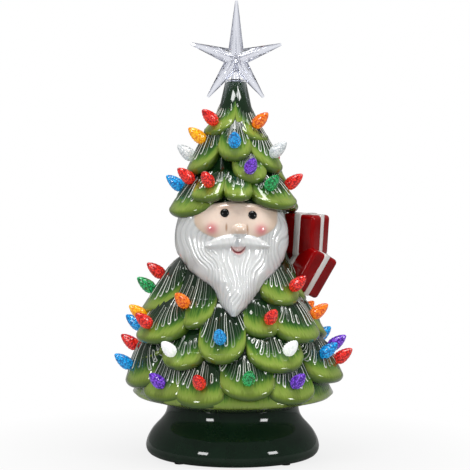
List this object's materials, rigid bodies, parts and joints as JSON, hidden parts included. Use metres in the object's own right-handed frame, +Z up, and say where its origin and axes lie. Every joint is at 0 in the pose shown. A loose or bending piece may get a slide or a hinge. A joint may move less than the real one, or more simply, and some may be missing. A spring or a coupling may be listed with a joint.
{
  "type": "christmas tree night light",
  "caption": "Battery-lit ceramic tabletop tree with overlapping rolled-rim branches, a bearded face under a brim, stacked gift boxes, push-in bulbs, a clear star and a round base.",
  "frame": {"origin": "on the table, under the middle of the round base", "axes": "+Z up along the tree, the bearded face looks along -Y, the gift boxes are towards +X"},
  "size_m": [0.1967, 0.1874, 0.38],
  "materials": {
    "green_glaze": "high gloss, airbrushed lime at the rolled rims",
    "dark_green_glaze": "high gloss",
    "white_glaze": "high gloss, painted face",
    "red_glaze": "high gloss, white ribbons",
    "bulb_red": "translucent",
    "bulb_orange": "translucent",
    "bulb_amber": "translucent",
    "bulb_blue": "translucent",
    "bulb_green": "translucent",
    "bulb_purple": "translucent",
    "bulb_clear": "clear",
    "clear_plastic": "clear, faceted",
    "white_plastic": "satin",
    "black_plastic": "satin",
    "battery_sleeve": "printed sleeve, left plain",
    "contact_steel": "nickel plated",
    "board_green": "solder mask",
    "lamp_lens": "frosted",
    "wire_red": "wire sleeve",
    "wire_black": "wire sleeve",
    "foot_rubber": "matte"
  },
  "bodies": {
    "base": {"base_shell": "dark_green_glaze", "battery_case": "black_plastic", "battery_1": "battery_sleeve", "battery_2": "battery_sleeve", "battery_3": "battery_sleeve", "contact_spring_1": "contact_steel", "contact_spring_2": "contact_steel", "contact_spring_3": "contact_steel", "contact_plate": "contact_steel", "switch_body": "black_plastic", "led_column": "white_plastic", "circuit_board": "board_green", "led_lamp": "lamp_lens", "lead_wire_red": "wire_red", "lead_wire_black": "wire_black", "rubber_foot_1": "foot_rubber", "rubber_foot_2": "foot_rubber", "rubber_foot_3": "foot_rubber", "rubber_foot_4": "foot_rubber"},
    "tree": {"tree_shell": "green_glaze", "bearded_head": "white_glaze", "upper_gift_box": "red_glaze", "lower_gift_box": "red_glaze", "bulb_01": "bulb_red", "bulb_02": "bulb_orange", "bulb_03": "bulb_amber", "bulb_04": "bulb_blue", "bulb_05": "bulb_clear", "bulb_06": "bulb_clear", "bulb_07": "bulb_purple", "bulb_08": "bulb_red", "bulb_09": "bulb_blue", "bulb_10": "bulb_red", "bulb_11": "bulb_green", "bulb_12": "bulb_red", "bulb_13": "bulb_red", "bulb_14": "bulb_green", "bulb_15": "bulb_amber", "bulb_16": "bulb_red", "bulb_17": "bulb_orange", "bulb_18": "bulb_blue", "bulb_19": "bulb_red", "bulb_20": "bulb_blue", "bulb_21": "bulb_clear", "bulb_22": "bulb_blue", "bulb_23": "bulb_red", "bulb_24": "bulb_orange", "bulb_25": "bulb_red", "bulb_26": "bulb_clear", "bulb_27": "bulb_purple", "bulb_28": "bulb_blue", "bulb_29": "bulb_red", "bulb_30": "bulb_purple", "bulb_31": "bulb_red", "bulb_32": "bulb_green", "bulb_33": "bulb_purple"},
    "collar": {"star_collar": "clear_plastic"},
    "star": {"star_topper": "clear_plastic"},
    "door": {"battery_door": "black_plastic"},
    "switch": {"switch_slider": "white_plastic"}
  },
  "joints": [
    {"name": "tree_lift", "type": "slide", "parent": "base", "child": "tree", "axis": [0, 0, 1], "range_m": [0, 0.115]},
    {"name": "star_turn", "type": "hinge", "parent": "tree", "child": "collar", "pos_m": [0, 0, 0.31], "axis": [0, 0, 1], "continuous": true},
    {"name": "star_lift", "type": "slide", "parent": "collar", "child": "star", "axis": [0, 0, 1], "range_m": [0, 0.02]},
    {"name": "door_hinge", "type": "hinge", "parent": "base", "child": "door", "pos_m": [0, 0.03045, 0.0049], "axis": [1, 0, 0], "range_deg": [0, 90]},
    {"name": "switch_slide", "type": "slide", "parent": "base", "child": "switch", "axis": [0, 1, 0], "range_m": [-0.0025, 0.0025]}
  ]
}
